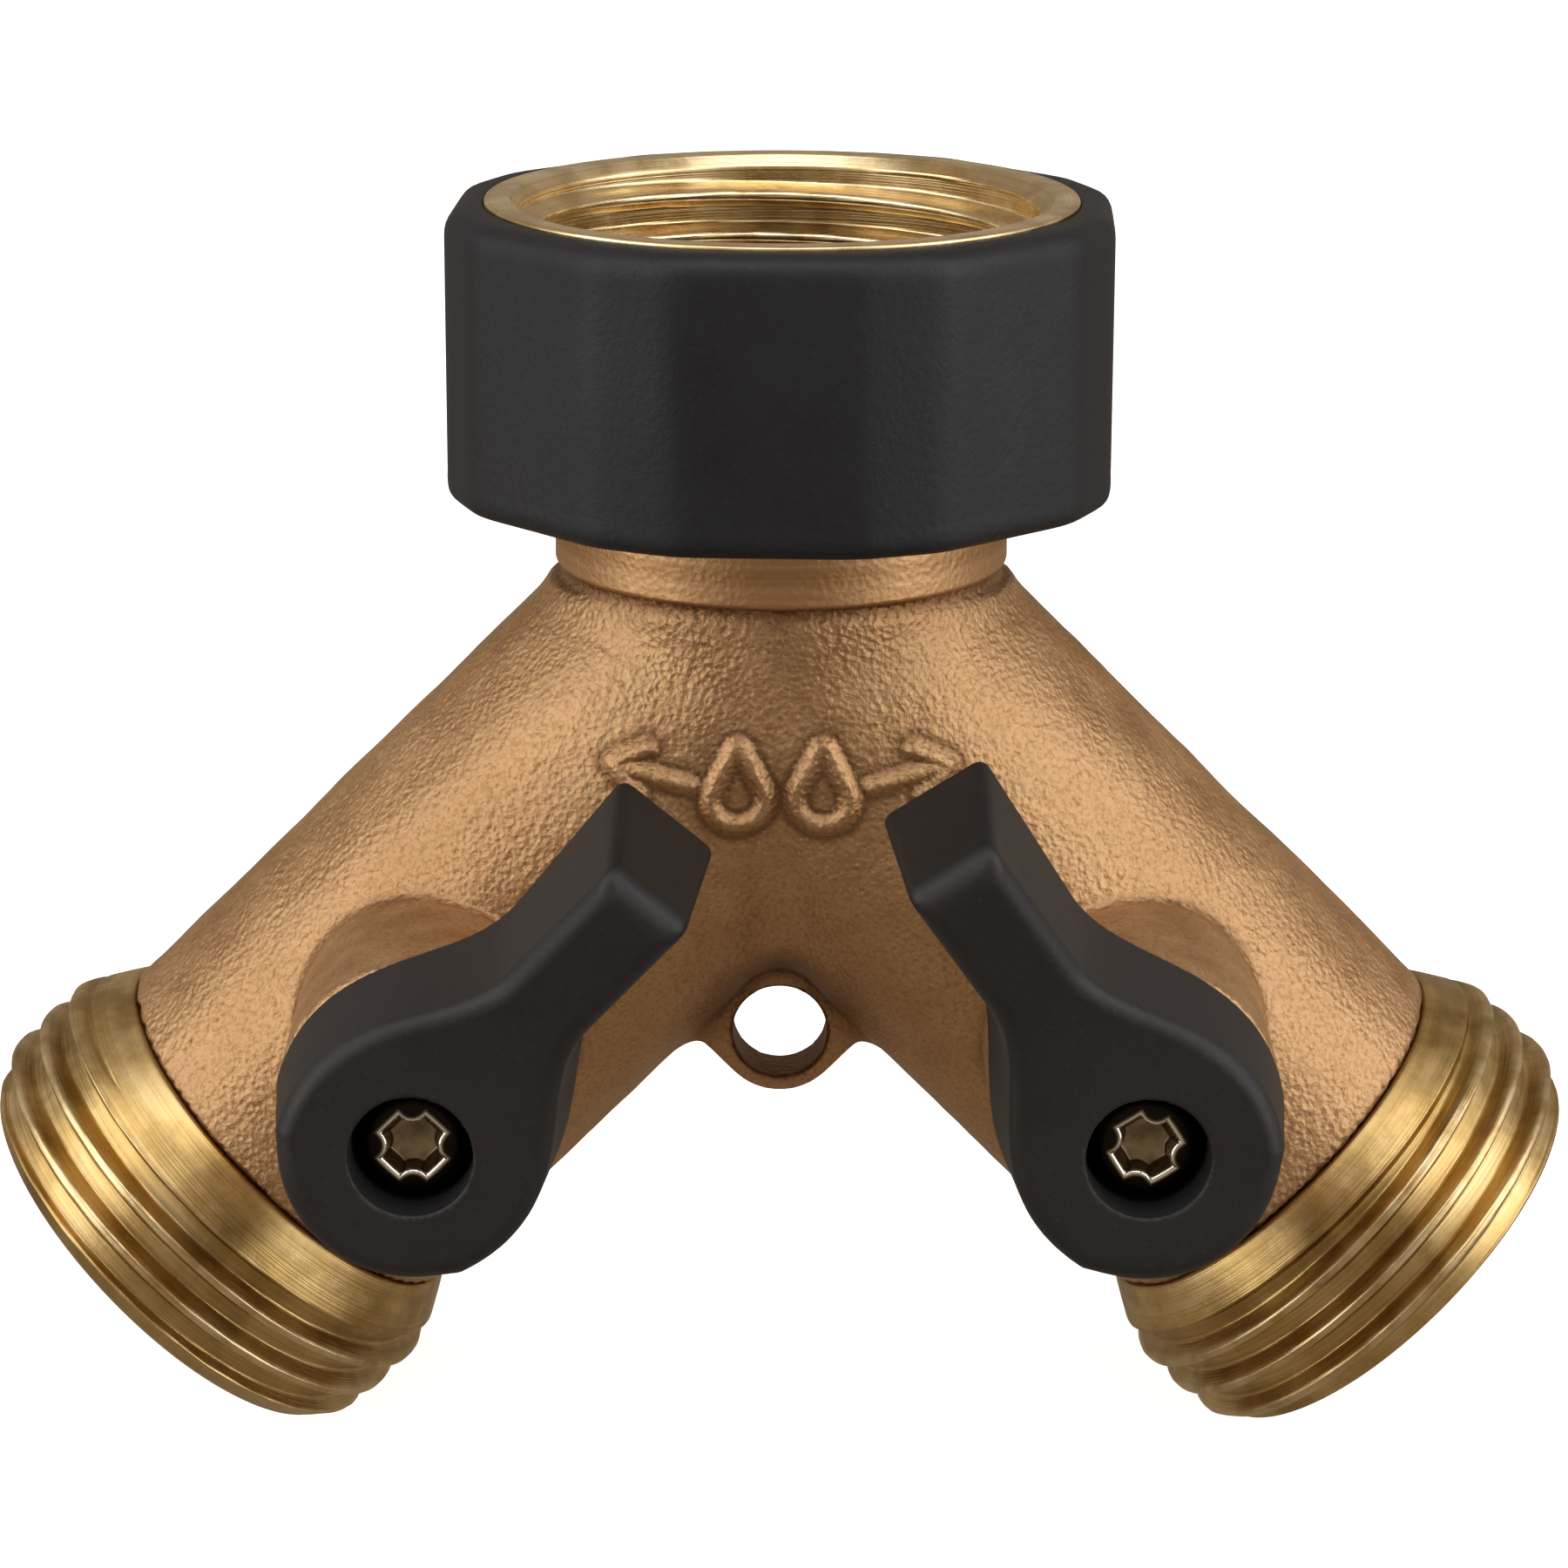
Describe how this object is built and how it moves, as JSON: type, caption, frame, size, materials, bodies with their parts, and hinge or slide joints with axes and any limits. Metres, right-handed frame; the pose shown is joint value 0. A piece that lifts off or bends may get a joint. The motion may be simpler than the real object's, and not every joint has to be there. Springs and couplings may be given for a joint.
{
  "type": "hose splitter",
  "caption": "Two-way garden-hose splitter: cast Y body with a swivel inlet nut, threaded outlets and quarter-turn lever valves.",
  "frame": {"origin": "on the inlet nut's axis at the inner end of its thread, where the hose washer's face lies", "axes": "+Z out of the inlet nut's mouth, +X towards the right-hand outlet as seen from the lever side, -Y the side the levers face"},
  "size_m": [0.0836, 0.0495, 0.066],
  "materials": {
    "cast_brass": "sand-cast, matte with a fine grain",
    "turned_brass": "turned, satin with fine tool marks",
    "grip_plastic": "moulded, fine spark texture",
    "lever_plastic": "moulded, satin",
    "spring_steel": "bright spring steel",
    "black_rubber": "matte rubber",
    "ptfe": "waxy white",
    "ball_chrome": "plated and polished",
    "stem_brass": "turned",
    "screw_steel": "nickel plated"
  },
  "bodies": {
    "casting": {"body": "cast_brass", "nut_retaining_ring": "spring_steel", "left_outlet_fitting": "turned_brass", "right_outlet_fitting": "turned_brass", "left_outlet_o_ring": "black_rubber", "right_outlet_o_ring": "black_rubber", "left_inner_seat": "ptfe", "right_inner_seat": "ptfe", "left_outer_seat": "ptfe", "right_outer_seat": "ptfe"},
    "inlet_nut": {"swivel_nut": "turned_brass", "nut_grip": "grip_plastic", "hose_washer": "black_rubber"},
    "left_valve": {"left_lever": "lever_plastic", "left_lever_screw": "screw_steel", "left_stem": "stem_brass", "left_stem_washer": "ptfe", "left_stem_o_rings": "black_rubber", "left_ball": "ball_chrome"},
    "right_valve": {"right_lever": "lever_plastic", "right_lever_screw": "screw_steel", "right_stem": "stem_brass", "right_stem_washer": "ptfe", "right_stem_o_rings": "black_rubber", "right_ball": "ball_chrome"}
  },
  "joints": [
    {"name": "nut_swivel", "type": "hinge", "parent": "casting", "child": "inlet_nut", "pos_m": [0, 0, 0], "axis": [0, 0, 1], "continuous": true},
    {"name": "left_valve_turn", "type": "hinge", "parent": "casting", "child": "left_valve", "pos_m": [-0.01766, -0.0203, -0.03326], "axis": [0, -1, 0], "range_deg": [-5.6, 84.4]},
    {"name": "right_valve_turn", "type": "hinge", "parent": "casting", "child": "right_valve", "pos_m": [0.01766, -0.0203, -0.03326], "axis": [0, 1, 0], "range_deg": [-12.7, 77.3]}
  ]
}
